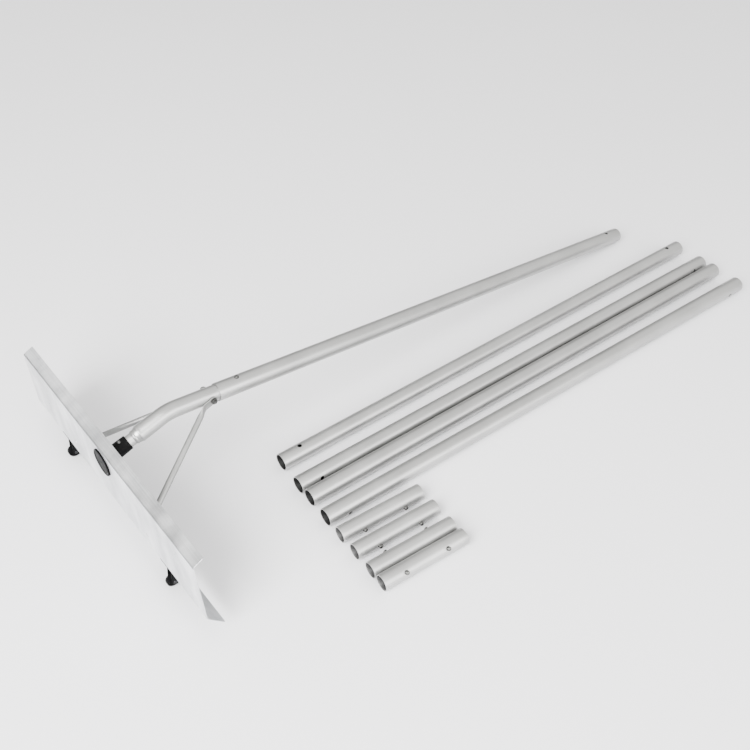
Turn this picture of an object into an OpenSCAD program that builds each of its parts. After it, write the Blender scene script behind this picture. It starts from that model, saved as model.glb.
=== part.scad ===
// Snow roof rake kit: a folded aluminium blade on two rollers, a braced neck with its first
// pole fitted, four loose pole sections and four couplers. X runs along the fitted pole,
// Y along the blade, Z up from the floor that everything rests on.

/* [Blade] */
// Length of the blade along its top fold
blade_top_len = 634; // [560:1:700]
// Length of the blade along its bottom fold
blade_bottom_len = 652; // [580:1:720]
// Sheet thickness
sheet_t = 1.5; // [1:0.1:2.5]
// Height of the top fold above the floor
top_fold_z = 186; // [170:1:200]
// Height of the bottom fold above the floor
bottom_fold_z = 55; // [50:1:60]
// How far the top flange reaches back
flange_back = 20; // [12:0.5:30]
// How far the top flange rises towards its back edge
flange_rise = 9.2; // [4:0.1:14]
// How far the bottom lip reaches back
lip_back = 28.5; // [24:0.5:32]
// How far the bottom lip drops below its fold
lip_drop = 37.7; // [34:0.1:42]
// Outside radius of the folds
fold_r = 4; // [2.6:0.1:6]

/* [Hub] */
// Height of the hub's centre above the floor
hub_z = 151; // [140:1:155]
// Diameter of the round cap on the blade's front
cap_d = 54; // [44:1:60]
// Thickness of the cap in front of the sheet
cap_t = 3; // [2:0.5:5]
// Angle at which the socket climbs away from the blade
socket_pitch = 16; // [12:0.5:20]
// Length of the socket from the blade's front face, along its own axis
socket_len = 56; // [50:1:60]
// Diameter of the socket at its mouth
socket_mouth_d = 28; // [27:0.5:32]
// Diameter of the socket at its root
socket_root_d = 31; // [30:0.5:35]

/* [Tubes] */
// Length of every pole section
pole_len = 1200; // [900:10:1300]
// Outside diameter of a pole section
pole_od = 35.5; // [34.5:0.1:37]
// Wall thickness of a pole section
pole_wall = 1.5; // [1.2:0.1:1.5]
// Length of a coupler
coupler_len = 180; // [176:1:220]
// Radial gap between a pole's bore and the tube inside it
slip_gap = 0.35; // [0.3:0.05:0.6]
// Wall thickness of the couplers and the neck
inner_wall = 1.6; // [1.4:0.1:1.8]
// Distance of a button hole from the end of its tube
button_inset = 45; // [43:1:48]

/* [Neck] */
// Diameter of the swaged end that enters the socket
swage_d = 23; // [21:0.5:24]
// Distance of the neck's bend from the blade, measured level
bend_x = 136.4; // [130:0.1:145]
// Radius of the bend at the tube's centre line
bend_r = 80; // [70:1:90]
// Distance from the bend's corner to the first pole's end
seam_dist = 99.9; // [97:0.1:110]
// Distance from the bend's corner to the brace bolt
brace_bolt_dist = 84.3; // [80:0.1:86]

/* [Braces] */
// Diameter of a brace between its flattened ends
brace_od = 11; // [9:0.5:12]
// Distance of the brace's foot bolt from the blade's middle
foot_y = 139; // [130:1:145]
// Height of the brace's foot bolt above the floor
foot_z = 86; // [80:1:90]
// Thickness of the flattened brace ends
tab_t = 2.4; // [2:0.1:3]
// Width of the flattened brace ends
tab_w = 15; // [13:0.5:16]

/* [Rollers] */
// Distance of each roller from the blade's middle
roller_y = 194.5; // [150:0.5:230]
// Diameter of a roller
roller_d = 27; // [24:0.5:28]
// Width of a roller
roller_w = 10; // [8:0.5:12]
// Distance of the axle behind the blade's front face
axle_x = 5.5; // [4:0.5:7]
// Diameter of an axle
axle_d = 5; // [4:0.5:6]
// Width of the bracket's base plate along the blade
bracket_w = 58; // [50:1:64]

/* [Hidden] */
$fn = 64;
eps = 0.01;

// Tubes
pole_r = pole_od / 2;
pole_bore_r = pole_r - pole_wall;
inner_r = pole_bore_r - slip_gap;
inner_bore_r = inner_r - inner_wall;
swage_r = swage_d / 2;

// Hub: a cap whose spigot passes through the sheet, and a socket clamped on by three screws
spigot_r = 17;
hub_screw_r = 1.8;
hub_screw_ring = 21.5;
socket_flange_r = 25;
socket_flange_t = 4;
socket_bore_from = 14;
neck_screw_along = 43;
neck_screw_r = 1.8;

// Swaged end: where its plain spigot stops and where its cone reaches the full tube
spigot_end = 66;
cone_end = 82.5;

// Snap buttons: a domed stem on the free leg of a sprung clip
button_r = 3.9;
button_travel = 5;
tube_hole_r = button_r + 0.3;
pole_hole_r = button_r + 0.7;
button_top = inner_r + button_travel;
dome_h = 1.4;
retainer_r = 6;
retainer_t = 1.5;
retainer_top = sqrt(pow(inner_bore_r, 2) - pow(retainer_r, 2)) - 0.35;
strip_w = 8;
strip_t = 0.8;
leg_top = retainer_top - retainer_t;
leg_len = 28;
lower_leg_z = -sqrt(pow(inner_bore_r, 2) - pow(strip_w / 2, 2)) + 0.03;
loop_gap = 0.5;
loop_outer_r = (leg_top - lower_leg_z) / 2;

// The pole slopes so that its far end just rests on the floor
bend_z = hub_z + bend_x * tan(socket_pitch);
pole_reach = seam_dist + pole_len;
pole_pitch = asin(bend_z / sqrt(pow(pole_reach, 2) + pow(pole_r, 2))) - atan(pole_r / pole_reach);
bend_angle = socket_pitch + pole_pitch;
bend_tangent = bend_r * tan(bend_angle / 2);
bend_start = bend_x / cos(socket_pitch) - bend_tangent;
bend_lap = 2;
bend_swell = 0.1;

// Bottom lip, in its own slope
lip_angle = atan2(lip_drop, lip_back);
axle_z = roller_d / 2;
axle_along = axle_x * cos(lip_angle) + (bottom_fold_z - axle_z) * sin(lip_angle);
axle_out = axle_x * sin(lip_angle) - (bottom_fold_z - axle_z) * cos(lip_angle);

// Fork around a roller
roller_gap = 0.6;
cheek_t = 2.4;
cheek_in = roller_w / 2 + roller_gap;
cheek_out = cheek_in + cheek_t;
cheek_r = 6.5;
plate_t = 3;
plate_from = 5;
plate_to = 36;
plate_corner_r = 6;
rivet_r = 2;
rivet_y = 22;
rivet_along = 14;

// Braces
brace_bolt_r = 3;
foot_bolt_r = 2.5;
nut_w = 10;
brace_bolt_x = bend_x + brace_bolt_dist * cos(pole_pitch);
brace_bolt_z = bend_z - brace_bolt_dist * sin(pole_pitch);
tab_gap = 0.2;
tab_y = inner_r + tab_gap + tab_t / 2;
tab_reach = [18.5, 6.6];
brace_top = [brace_bolt_x - tab_reach[0], tab_y, brace_bolt_z - tab_reach[1]];
foot_x = sheet_t + 0.05 + tab_t / 2;
foot_bend = 11;
brace_foot = [foot_x, foot_y - foot_bend, foot_z];
ring_n = 24;
end_angles = [20, 45, 70, 90];
press_len = 18;
lower_press = 24;
upper_press = 2.5;

// Loose pieces on the floor: near end x and y, heading, and where their holes point,
// as an angle from straight up towards +Y
loose_poles = [
    [302, -96, -2.0, 4],
    [294, -164, -2.4, -74],
    [293, -202.5, -2.4, 150],
    [288, -258, -3.1, -102]
];
couplers = [
    [285, -305, -5.2, -88],
    [283, -351, -5.1, -84],
    [280, -399, -5.3, 95],
    [278.5, -431.5, -5.5, -50]
];

// The origin is the middle of the kit's footprint on the floor
last_coupler = couplers[3];
kit_x_min = axle_x - roller_d / 2;
kit_x_max = loose_poles[0][0] + pole_len * cos(loose_poles[0][2]) - pole_r * sin(loose_poles[0][2]);
kit_y_max = blade_bottom_len / 2;
kit_y_min = last_coupler[1] + coupler_len * sin(last_coupler[2]) - inner_r * cos(last_coupler[2]);
kit_mid = [(kit_x_min + kit_x_max) / 2, (kit_y_min + kit_y_max) / 2, 0];

alloy = [0.78, 0.79, 0.80];
bright = [0.86, 0.87, 0.88];
black = [0.09, 0.09, 0.09];
zinc = [0.62, 0.62, 0.60];

// ---- Placement ----

module in_kit() {
    translate(-kit_mid) children();
}

// Local +X runs up the socket from the hub's centre
module on_socket() {
    in_kit() translate([0, 0, hub_z]) rotate([0, -socket_pitch, 0]) children();
}

// Local +X runs down the fitted pole from the neck's bend
module on_pole() {
    in_kit() translate([bend_x, 0, bend_z]) rotate([0, pole_pitch, 0]) children();
}

// Local +X runs down the lip from the bottom fold, local -Z points out of its underside
module on_lip(side) {
    in_kit() translate([0, side * roller_y, bottom_fold_z]) rotate([0, lip_angle, 0]) children();
}

// A tube lying on the floor, its local +Z turned to where its holes point
module on_floor(place, r) {
    in_kit() translate([place[0], place[1], r]) rotate([0, 0, place[2]]) rotate([-place[3], 0, 0])
        children();
}

module along_x(from, to, r) {
    translate([from, 0, 0]) rotate([0, 90, 0]) cylinder(h = to - from, r = r);
}

module along_y(from, to, r) {
    translate([0, from, 0]) rotate([-90, 0, 0]) cylinder(h = to - from, r = r);
}

// ---- Blade ----

function unit(v) = v / norm(v);

// Points of a fold's arc of radius r, about the centre that radius outer gives
function fold_arc(a, corner, b, outer, r, steps = 8) =
    let (u = unit(a - corner), v = unit(b - corner),
         half = acos(u * v) / 2,
         centre = corner + unit(u + v) * outer / sin(half),
         from = corner + u * outer / tan(half) - centre,
         to = corner + v * outer / tan(half) - centre,
         a0 = atan2(from[1], from[0]),
         turn = atan2(to[1], to[0]) - a0,
         sweep = turn > 180 ? turn - 360 : turn < -180 ? turn + 360 : turn)
    [for (i = [0:steps]) centre + r * [cos(a0 + sweep * i / steps), sin(a0 + sweep * i / steps)]];

function reversed(list) = [for (i = [len(list) - 1:-1:0]) list[i]];

// Normal of a to b, pointing to the back of the sheet
function back_normal(a, b) = let (d = unit(b - a)) [-d[1], d[0]];

module blade_profile() {
    flange_end = [flange_back, top_fold_z + flange_rise];
    top_fold = [0, top_fold_z];
    bottom_fold = [0, bottom_fold_z];
    lip_end = [lip_back, bottom_fold_z - lip_drop];
    inner_fold_r = fold_r - sheet_t;
    polygon(concat(
        [flange_end],
        fold_arc(flange_end, top_fold, bottom_fold, fold_r, fold_r),
        fold_arc(top_fold, bottom_fold, lip_end, fold_r, fold_r),
        [lip_end, lip_end + sheet_t * back_normal(bottom_fold, lip_end)],
        reversed(fold_arc(top_fold, bottom_fold, lip_end, fold_r, inner_fold_r)),
        reversed(fold_arc(flange_end, top_fold, bottom_fold, fold_r, inner_fold_r)),
        [flange_end + sheet_t * back_normal(flange_end, top_fold)]));
}

// The blade's outline from the front: its ends flare towards the bottom fold
module blade_outline() {
    half_top = blade_top_len / 2;
    half_bottom = blade_bottom_len / 2;
    polygon([[-half_bottom, 0], [half_bottom, 0], [half_bottom, bottom_fold_z],
        [half_top, top_fold_z], [half_top, top_fold_z + 2 * flange_rise],
        [-half_top, top_fold_z + 2 * flange_rise], [-half_top, top_fold_z],
        [-half_bottom, bottom_fold_z]]);
}

module blade() {
    color(bright) difference() {
        in_kit() intersection() {
            rotate([90, 0, 0]) linear_extrude(blade_bottom_len + 2, center = true) blade_profile();
            translate([-5, 0, 0]) rotate([90, 0, 90]) linear_extrude(60) blade_outline();
        }
        in_kit() translate([0, 0, hub_z]) along_x(-5, 5, spigot_r + 0.1);
        for (side = [-1, 1]) {
            in_kit() translate([0, side * foot_y, foot_z]) along_x(-5, 5, foot_bolt_r + 0.2);
            for (end = [-1, 1])
                on_lip(side) translate([rivet_along, end * rivet_y, -5])
                    cylinder(h = 10, r = rivet_r + 0.1);
        }
        in_kit() translate([0, 0, hub_z]) hub_screw_places() along_x(-5, 5, hub_screw_r + 0.2);
    }
}

// ---- Hub ----

module hub_screw_places() {
    for (i = [0:2])
        rotate([120 * i + 60, 0, 0]) translate([0, 0, hub_screw_ring]) children();
}

module hub_cap() {
    rim = 1;
    color(black) in_kit() translate([0, 0, hub_z]) difference() {
        union() {
            along_x(-cap_t + rim, -eps, cap_d / 2);
            translate([-cap_t, 0, 0]) rotate([0, 90, 0])
                cylinder(h = rim, r1 = cap_d / 2 - rim, r2 = cap_d / 2);
            along_x(-rim, sheet_t + 1, spigot_r);
        }
        hub_screw_places() along_x(-cap_t + 1.2, 5, hub_screw_r);
        along_x(-1, 5, spigot_r - 3);
    }
}

module hub_socket() {
    color(black) difference() {
        union() {
            in_kit() translate([0, 0, hub_z]) along_x(sheet_t + eps, sheet_t + socket_flange_t,
                socket_flange_r);
            intersection() {
                on_socket() rotate([0, 90, 0])
                    cylinder(h = socket_len, r1 = socket_root_d / 2, r2 = socket_mouth_d / 2);
                in_kit() translate([sheet_t + socket_flange_t / 2, -50, hub_z - 50])
                    cube([100, 100, 120]);
            }
        }
        on_socket() along_x(socket_bore_from, socket_len + 5, swage_r + 0.05);
        on_socket() translate([neck_screw_along, 0, 0]) cylinder(h = 30, r = neck_screw_r + 0.05);
        in_kit() translate([0, 0, hub_z]) hub_screw_places() along_x(0, 12, hub_screw_r + 0.1);
        in_kit() translate([0, 0, hub_z]) along_x(-5, sheet_t + 1 + 0.3, spigot_r + 0.3);
    }
}

// Pan-head screws that clamp the sheet between socket and cap, driven from behind
module hub_screws() {
    head_h = 1.8;
    seat = sheet_t + socket_flange_t + 0.02;
    color(zinc) in_kit() translate([0, 0, hub_z]) hub_screw_places() {
        along_x(-cap_t + 1.6, seat + eps, hub_screw_r - 0.05);
        translate([seat, 0, 0]) rotate([0, 90, 0]) cylinder(h = head_h, r1 = 3.1, r2 = 2.4);
    }
}

// Screw in the top of the socket that holds the neck's swaged end
module neck_screw() {
    head_z = socket_mouth_d / 2 + 0.65;
    color(zinc) on_socket() translate([neck_screw_along, 0, 0]) {
        translate([0, 0, swage_r - 1.6]) cylinder(h = head_z - swage_r + 1.7, r = neck_screw_r - 0.05);
        translate([0, 0, head_z]) cylinder(h = 1.7, r1 = 3.4, r2 = 2.6);
    }
}

// ---- Neck ----

// Outside of the swaged end: a plain spigot, a rolled bead, and a cone up to the full tube
module swaged_end(shrink) {
    r0 = swage_r - shrink;
    r1 = inner_r - shrink;
    from = socket_bore_from + 2 - shrink;
    to = bend_start + bend_lap;
    rotate([0, 90, 0]) rotate_extrude() polygon([
        [0, from], [r0, from], [r0, spigot_end], [r0 + 1.6, spigot_end + 1.5],
        [r0 + 2.2, spigot_end + 3.5], [r0 + 1.8, spigot_end + 5.5], [r1 - 1, cone_end - 5.5],
        [r1 + 0.3, cone_end - 3], [r1 + 0.3, cone_end - 1.5], [r1, cone_end], [r1, to], [0, to]]);
}

module neck_bend(r) {
    translate([bend_start, 0, -bend_r]) rotate([90, 0, 0]) rotate([0, 0, 90 - bend_angle])
        rotate_extrude(angle = bend_angle) translate([bend_r, 0]) circle(r);
}

// The wall thickens slightly round the bend, where the tube was worked
module neck_tube() {
    end = seam_dist + 2 * button_inset;
    color(alloy) difference() {
        union() {
            on_socket() swaged_end(0);
            on_socket() neck_bend(inner_r + bend_swell);
            on_pole() along_x(bend_tangent - bend_lap, end, inner_r);
        }
        on_socket() swaged_end(inner_wall);
        on_socket() neck_bend(inner_bore_r - bend_swell);
        on_pole() along_x(bend_tangent - bend_lap, end + 5, inner_bore_r);
        on_pole() translate([seam_dist + button_inset, 0, 0]) cylinder(h = 30, r = tube_hole_r);
        on_pole() translate([brace_bolt_dist, 0, 0]) along_y(-30, 30, brace_bolt_r + 0.1);
        on_socket() translate([neck_screw_along, 0, 0]) cylinder(h = 30, r = neck_screw_r + 0.05);
    }
}

// ---- Snap buttons and their clips; the tube runs along X and the button points up ----

// A domed stem with a retaining collar, on the free leg of the clip that runs to -X
module snap_button() {
    color(zinc) {
        translate([0, 0, leg_top]) cylinder(h = button_top - dome_h - leg_top, r = button_r);
        translate([0, 0, button_top - dome_h])
            cylinder(h = dome_h, r1 = button_r, r2 = button_r - dome_h);
        translate([0, 0, leg_top]) cylinder(h = retainer_t, r = retainer_r);
        translate([-leg_len, -strip_w / 2, leg_top - strip_t])
            cube([leg_len + strip_w / 2, strip_w, strip_t + eps]);
    }
}

// The clip's loop and lower leg, which press on the far wall of the tube
module spring_clip() {
    color(zinc) {
        translate([-leg_len - loop_gap, 0, lower_leg_z + loop_outer_r]) rotate([90, 0, 0])
            rotate([0, 0, 90]) rotate_extrude(angle = 180)
                translate([loop_outer_r - strip_t, -strip_w / 2]) square([strip_t, strip_w]);
        translate([-leg_len - loop_gap - eps, -strip_w / 2, lower_leg_z])
            cube([leg_len + 2 * strip_w, strip_w, strip_t]);
    }
}

module neck_clip() {
    on_pole() translate([seam_dist + button_inset, 0, 0]) spring_clip();
}

module neck_button() {
    on_pole() translate([seam_dist + button_inset, 0, 0]) snap_button();
}

// ---- Braces ----

// A point of a ring round the brace: a circle where roundness is 1, and where it is 0 a flat of
// half width w, crowned by a hair as pressed ends are
function ring_point(k, w, roundness) =
    let (t = tab_t / 2, edge = 0.4, half = ring_n / 2, m = k <= half ? k : ring_n - k,
         x = m <= 1 ? w : m >= half - 1 ? -w : (w - edge) * (1 - 2 * (m - 2) / (half - 4)),
         y = m == 0 || m == half ? 0 : m == 1 || m == half - 1 ? t - edge : t - 0.06 * pow(x / w, 2),
         flat = [x, k <= half ? y : -y],
         round_r = brace_od / 2 * [cos(360 * k / ring_n), sin(360 * k / ring_n)])
    flat + roundness * (round_r - flat);

function ring(centre, along, up, w, roundness) =
    let (side = cross(up, along))
    [for (k = [0:ring_n - 1])
        let (q = ring_point(k, w, roundness)) centre + q[0] * up + q[1] * side];

module loft(rings) {
    last = len(rings) - 1;
    polyhedron(
        points = [for (one = rings) each one],
        faces = concat(
            [[for (k = [0:ring_n - 1]) (ring_n - k) % ring_n]],
            [for (i = [0:last - 1], k = [0:ring_n - 1])
                let (a = i * ring_n + k, b = i * ring_n + (k + 1) % ring_n)
                [a, b, b + ring_n, a + ring_n]],
            [[for (k = [0:ring_n - 1]) last * ring_n + k]]),
        convexity = 4);
}

// A brace on the +Y side: a round bar whose ends are pressed flat, bent and drilled
module brace() {
    r = tab_w / 2;
    run = unit(brace_top - brace_foot);
    run_up = unit(cross(run, cross([0, 0, 1], run)));
    foot = [0, -1, 0];
    foot_up = [0, 0, 1];
    bolt = [brace_bolt_x, tab_y, brace_bolt_z];
    tab = unit(bolt - brace_top);
    tab_up = [-tab[2], 0, tab[0]];
    bolt_foot = [foot_x, foot_y, foot_z];
    press = [0:0.2:1];
    rings = concat(
        [for (a = end_angles) ring(bolt_foot - r * cos(a) * foot, foot, foot_up, r * sin(a), 0)],
        [ring(brace_foot - 2 * foot, foot, foot_up, r, 0)],
        [ring(brace_foot, unit(foot + run), unit(foot_up + run_up), r, 0)],
        [ring(brace_foot + 3 * run, run, run_up, r, 0)],
        [for (f = press) ring(brace_foot + (lower_press + f * press_len) * run, run, run_up, r,
            f * f * (3 - 2 * f))],
        [for (f = press) ring(brace_top - (upper_press + (1 - f) * press_len) * run, run, run_up, r,
            1 - f * f * (3 - 2 * f))],
        [ring(brace_top, unit(run + tab), unit(run_up + tab_up), r, 0)],
        [ring(brace_top + 2 * tab, tab, tab_up, r, 0)],
        [for (a = reversed(end_angles)) ring(bolt + r * cos(a) * tab, tab, tab_up, r * sin(a), 0)]);
    color(alloy) difference() {
        loft(rings);
        translate(bolt) along_y(-5, 5, brace_bolt_r + 0.1);
        translate(bolt_foot) along_x(-5, 5, foot_bolt_r + 0.1);
    }
}

module brace_left() {
    in_kit() brace();
}

module brace_right() {
    in_kit() mirror([0, 1, 0]) brace();
}

// Hexagon head on the +Y side, shank through both tabs and the neck
module brace_bolt() {
    outside = tab_y + tab_t / 2 + 0.02;
    color(zinc) on_pole() translate([brace_bolt_dist, 0, 0]) {
        along_y(-outside - 7, outside + eps, brace_bolt_r);
        translate([0, outside, 0]) rotate([-90, 0, 0])
            cylinder(h = 4, r = nut_w / 2 / cos(30), $fn = 6);
    }
}

module brace_nut() {
    outside = tab_y + tab_t / 2 + 0.02;
    color(zinc) on_pole() translate([brace_bolt_dist, -outside, 0]) rotate([90, 0, 0]) difference() {
        union() {
            cylinder(h = 1, r = nut_w / 2 + 1.4);
            cylinder(h = 5, r = nut_w / 2 / cos(30), $fn = 6);
        }
        translate([0, 0, -1]) cylinder(h = 8, r = brace_bolt_r + 0.03);
    }
}

// Low domed heads on the blade's front, shanks through the sheet and the brace feet
module foot_bolts() {
    tip = foot_x + tab_t / 2 + 5;
    color(bright) for (side = [-1, 1]) in_kit() translate([0, side * foot_y, foot_z]) {
        along_x(-eps, tip, foot_bolt_r);
        translate([-1.2, 0, 0]) rotate([0, 90, 0]) cylinder(h = 1.2, r1 = 3.4, r2 = 4.6);
    }
}

module foot_nuts() {
    color(zinc) for (side = [-1, 1]) in_kit()
        translate([foot_x + tab_t / 2 + 0.02, side * foot_y, foot_z]) rotate([0, 90, 0]) difference() {
            cylinder(h = 4, r = 4 / cos(30), $fn = 6);
            translate([0, 0, -1]) cylinder(h = 6, r = foot_bolt_r + 0.03);
        }
}

// ---- Rollers ----

// Corners of a rectangle from x0 to x1 and w wide, each rounded to radius r
function round_rect(x0, x1, w, r, steps = 6) = [
    for (corner = [0:3], i = [0:steps])
        let (a = 90 * (corner + i / steps),
             x = corner == 0 || corner == 3 ? x1 - r : x0 + r,
             y = corner < 2 ? w / 2 - r : r - w / 2)
        [x + r * cos(a), y + r * sin(a)]];

// Base plate on the lip's underside, with a fork that carries the axle
module roller_bracket(side) {
    color(black) on_lip(side) difference() {
        union() {
            translate([0, 0, -plate_t]) linear_extrude(plate_t - 0.05)
                polygon(round_rect(plate_from, plate_to, bracket_w, plate_corner_r));
            for (end = [-1, 1]) translate([0, end * (cheek_in + cheek_t / 2), 0]) cheek();
        }
        for (end = [-1, 1]) translate([rivet_along, end * rivet_y, -5])
            cylinder(h = 10, r = rivet_r + 0.1);
        translate([axle_along, 0, axle_out]) along_y(-20, 20, axle_d / 2 + 0.02);
    }
}

// One side of the fork, centred on its own thickness: round below the axle, wide at the plate
module cheek() {
    foot = -0.5 - plate_t / 2;
    rotate([90, 0, 0]) linear_extrude(cheek_t, center = true)
        polygon(concat([[plate_from + 6, foot], [plate_from + 6, foot - 3]],
            [for (a = [-150:15:30]) [axle_along, axle_out] + cheek_r * [cos(a), sin(a)]],
            [[plate_to - 1.5, foot]]));
}

module roller_bracket_left() {
    roller_bracket(1);
}

module roller_bracket_right() {
    roller_bracket(-1);
}

// Four rivets with a domed head inside the lip and a clenched head under the plate
module bracket_rivets() {
    color(zinc) for (side = [-1, 1], end = [-1, 1])
        on_lip(side) translate([rivet_along, end * rivet_y, 0]) {
            translate([0, 0, -plate_t - 0.02]) cylinder(h = plate_t + sheet_t + 0.04, r = rivet_r);
            translate([0, 0, sheet_t + 0.02]) cylinder(h = 1.4, r1 = 3.8, r2 = 2.4);
            translate([0, 0, -plate_t - 1.2]) cylinder(h = 1.2, r1 = 2.4, r2 = 3.2);
        }
}

// Solid roller with a crowned tread and a recess round the axle on each side
module roller(side) {
    r = roller_d / 2;
    bore = axle_d / 2 + 0.06;
    half = roller_w / 2;
    color(black) in_kit() translate([axle_x, side * roller_y, axle_z]) rotate([90, 0, 0])
        rotate_extrude() polygon([[bore, -half], [5, -half], [5.6, -half + 0.8], [r - 3.2, -half + 0.8],
            [r - 2.6, -half], [r - 1.2, -half], [r, -half + 1.4], [r, half - 1.4], [r - 1.2, half],
            [r - 2.6, half], [r - 3.2, half - 0.8], [5.6, half - 0.8], [5, half], [bore, half]]);
}

module roller_left() {
    roller(1);
}

module roller_right() {
    roller(-1);
}

module axle(side) {
    head_t = 1.2;
    color(zinc) in_kit() translate([axle_x, side * roller_y, axle_z]) {
        along_y(-cheek_out - 0.02, cheek_out + 0.02, axle_d / 2);
        translate([0, cheek_out + 0.02, 0]) rotate([-90, 0, 0]) cylinder(h = head_t, r1 = 4, r2 = 3);
        translate([0, -cheek_out - 0.02, 0]) rotate([90, 0, 0]) cylinder(h = head_t, r1 = 4, r2 = 3);
    }
}

module axle_left() {
    axle(1);
}

module axle_right() {
    axle(-1);
}

// ---- Poles ----

module pole_tube() {
    color(alloy) difference() {
        along_x(0, pole_len, pole_r);
        along_x(-1, pole_len + 1, pole_bore_r);
        for (x = [button_inset, pole_len - button_inset])
            translate([x, 0, 0]) cylinder(h = 30, r = pole_hole_r);
    }
}

module loose_pole(i) {
    on_floor(loose_poles[i], pole_r) pole_tube();
}

module pole_1() {
    on_pole() translate([seam_dist, 0, 0]) pole_tube();
}

module pole_2() {
    loose_pole(0);
}

module pole_3() {
    loose_pole(1);
}

module pole_4() {
    loose_pole(2);
}

module pole_5() {
    loose_pole(3);
}

// ---- Couplers ----

module coupler(i) {
    color(alloy) on_floor(couplers[i], inner_r) difference() {
        along_x(0, coupler_len, inner_r);
        along_x(-1, coupler_len + 1, inner_bore_r);
        for (x = [button_inset, coupler_len - button_inset])
            translate([x, 0, 0]) cylinder(h = 30, r = tube_hole_r);
    }
}

// Places a button or clip at the near end, its loop towards the coupler's middle
module at_near_button(i) {
    on_floor(couplers[i], inner_r) translate([button_inset, 0, 0]) mirror([1, 0, 0]) children();
}

module at_far_button(i) {
    on_floor(couplers[i], inner_r) translate([coupler_len - button_inset, 0, 0]) children();
}

module coupler_clips(i) {
    at_near_button(i) spring_clip();
    at_far_button(i) spring_clip();
}

module coupler_1() { coupler(0); }
module coupler_2() { coupler(1); }
module coupler_3() { coupler(2); }
module coupler_4() { coupler(3); }
module coupler_1_clips() { coupler_clips(0); }
module coupler_2_clips() { coupler_clips(1); }
module coupler_3_clips() { coupler_clips(2); }
module coupler_4_clips() { coupler_clips(3); }
module coupler_1_button_near() { at_near_button(0) snap_button(); }
module coupler_1_button_far() { at_far_button(0) snap_button(); }
module coupler_2_button_near() { at_near_button(1) snap_button(); }
module coupler_2_button_far() { at_far_button(1) snap_button(); }
module coupler_3_button_near() { at_near_button(2) snap_button(); }
module coupler_3_button_far() { at_far_button(2) snap_button(); }
module coupler_4_button_near() { at_near_button(3) snap_button(); }
module coupler_4_button_far() { at_far_button(3) snap_button(); }

blade();
hub_cap();
hub_socket();
hub_screws();
neck_screw();
neck_tube();
neck_clip();
neck_button();
brace_left();
brace_right();
brace_bolt();
brace_nut();
foot_bolts();
foot_nuts();
roller_bracket_left();
roller_bracket_right();
bracket_rivets();
roller_left();
roller_right();
axle_left();
axle_right();
pole_1();
pole_2();
pole_3();
pole_4();
pole_5();
coupler_1();
coupler_2();
coupler_3();
coupler_4();
coupler_1_clips();
coupler_2_clips();
coupler_3_clips();
coupler_4_clips();
coupler_1_button_near();
coupler_1_button_far();
coupler_2_button_near();
coupler_2_button_far();
coupler_3_button_near();
coupler_3_button_far();
coupler_4_button_near();
coupler_4_button_far();
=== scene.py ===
"""Looks for the snow roof rake kit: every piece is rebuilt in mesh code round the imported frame."""
import math

import bmesh
import bpy
from mathutils import Matrix, Vector


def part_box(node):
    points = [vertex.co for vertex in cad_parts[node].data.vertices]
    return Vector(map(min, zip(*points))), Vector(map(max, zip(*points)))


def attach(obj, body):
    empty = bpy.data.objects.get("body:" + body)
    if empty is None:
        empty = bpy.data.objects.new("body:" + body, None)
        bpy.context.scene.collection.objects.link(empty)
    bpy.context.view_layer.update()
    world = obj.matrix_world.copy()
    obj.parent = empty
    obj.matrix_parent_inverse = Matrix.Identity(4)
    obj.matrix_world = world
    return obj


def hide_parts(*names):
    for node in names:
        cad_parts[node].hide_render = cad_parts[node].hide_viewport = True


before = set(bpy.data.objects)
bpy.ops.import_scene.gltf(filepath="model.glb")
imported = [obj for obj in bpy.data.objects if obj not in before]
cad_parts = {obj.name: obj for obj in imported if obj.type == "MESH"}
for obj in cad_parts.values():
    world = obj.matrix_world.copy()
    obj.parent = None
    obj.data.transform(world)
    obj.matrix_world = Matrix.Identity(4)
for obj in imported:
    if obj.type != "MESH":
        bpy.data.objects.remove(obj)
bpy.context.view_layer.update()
MM = 0.001

# ---- Driving sizes in mm, in a frame whose X = 0 is the blade's front, as in the CAD ----

# Blade; the fold line's Z is the height of a thin dark line of painted shade along the top fold
BLADE_HALF_TOP = 317
BLADE_HALF_BOTTOM = 326
SHEET = 1.5
FLANGE_END = (20, 195.2)
TOP_FOLD = (0, 186)
BOTTOM_FOLD = (0, 55)
LIP_END = (28.5, 17.3)
FOLD_R = 4
FOLD_SHADE_Z = 184.5

# Hub; SPIGOT_SEAT_R is the recess in the socket's flange that takes the cap's spigot
HUB_Z = 151
SOCKET_PITCH = 16
SOCKET_LEN = 56
SOCKET_BORE_R = 11.55
SOCKET_FLANGE_R = 25
SOCKET_FLANGE_T = 4
CAP_R = 27
SPIGOT_R = 17
SPIGOT_SEAT_R = 17.3

# Poles, couplers, and the button, collar and sprung strip of a clip
POLE_LEN = 1200
POLE_R = 17.75
POLE_BORE_R = 16.25
COUPLER_LEN = 180
INNER_R = 15.9
INNER_BORE_R = 14.3
BUTTON_INSET = 45
BUTTON_R = 3.9
BUTTON_TRAVEL = 5
BUTTON_DOME = 1.6
POLE_HOLE_R = 4.6
TUBE_HOLE_R = 4.2
COLLAR_R = 6
COLLAR_T = 1.5
COLLAR_GAP = 0.35
STRIP_W = 8
STRIP_T = 0.8
LEG_LEN = 28
LOOP_GAP = 0.5

# Neck; SEAM and BRACE_BOLT are distances along the poles' line from where it meets the socket's
SWAGE_R = 11.5
BEND_X = 136.4
BEND_R = 80
SEAM = 99.9
BRACE_BOLT = 84.3

# Braces: a foot tab bolted to the blade, a pressed length at each end, and a tab on the neck
BRACE_R = 5.5
TAB_T = 2.4
TAB_W = 15
TAB_GAP = 0.2
TAB_REACH = (18.5, 6.6)
FOOT_Y = 139
FOOT_Z = 86
FOOT_BEND = 11
FOOT_GAP = 0.05
PRESS_LEN = 18
LOWER_PRESS = 24
UPPER_PRESS = 2.5

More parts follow.
